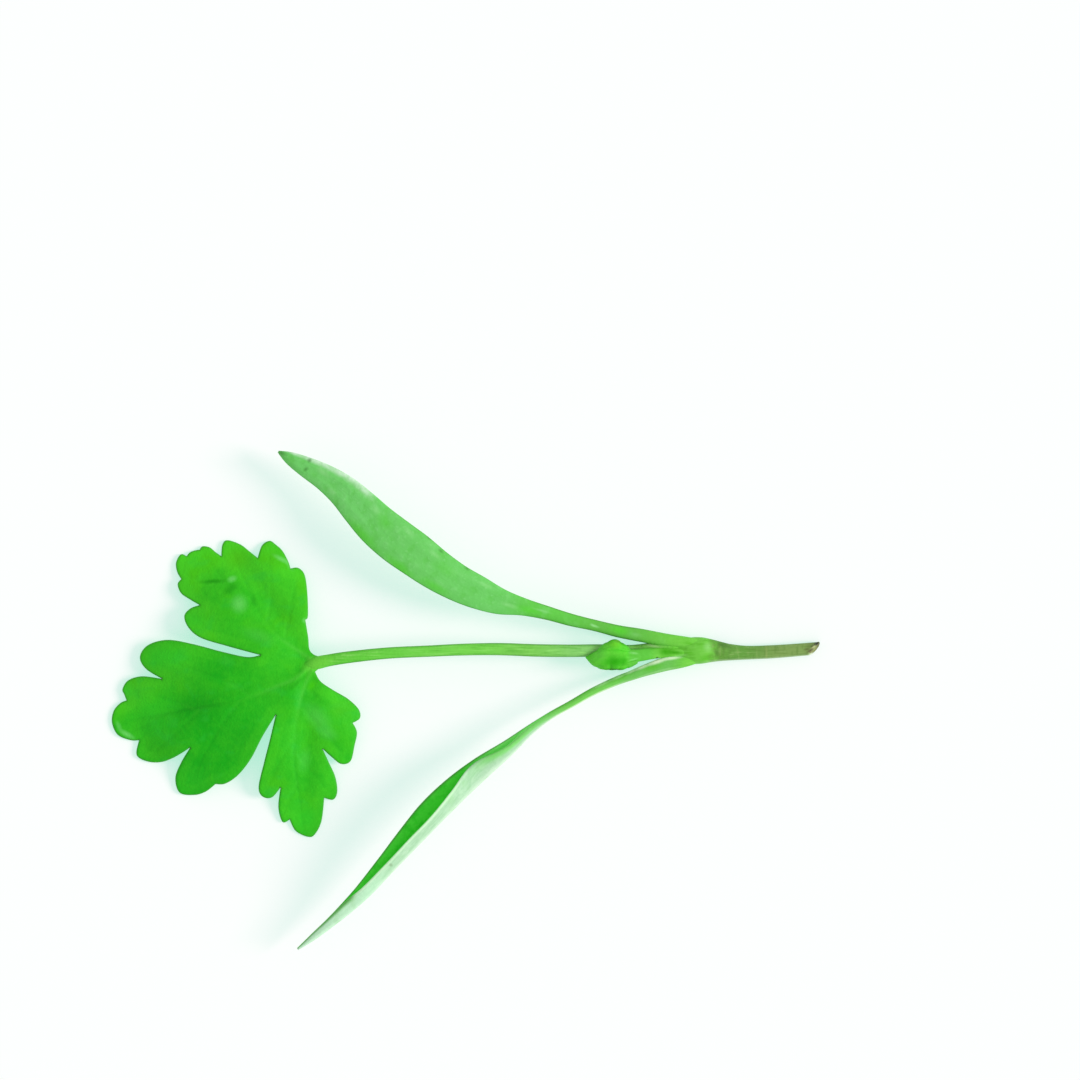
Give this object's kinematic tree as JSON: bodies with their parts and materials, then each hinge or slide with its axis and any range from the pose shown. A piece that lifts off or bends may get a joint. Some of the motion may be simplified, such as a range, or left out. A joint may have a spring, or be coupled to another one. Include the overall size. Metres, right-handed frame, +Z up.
{
  "type": "coriander microgreen seedling",
  "caption": "Cut coriander seedling lying flat: a slim stem, long seed leaves, one folded along its midrib, a stalked toothed true leaf and a small folded leaf.",
  "frame": {"origin": "on the surface that the seedling lies on, under the middle of its bounding box", "axes": "+X along the seedling towards the cut end of its stem, +Y across it towards the flat seed leaf's tip, +Z up from the surface"},
  "size_m": [0.0601, 0.0423, 0.0048],
  "materials": {
    "true_leaf_green": "soft satin leaf surface",
    "folded_leaf_green": "soft satin leaf surface",
    "seed_leaf_green": "matte leaf surface",
    "folded_seed_leaf_green": "matte leaf surface",
    "stem_green": "fleshy satin stem"
  },
  "bodies": {
    "root": {"hypocotyl": "stem_green", "seed_leaf_upper": "seed_leaf_green", "seed_leaf_lower": "folded_seed_leaf_green", "true_leaf": "true_leaf_green", "folded_leaf": "folded_leaf_green"}
  },
  "joints": []
}
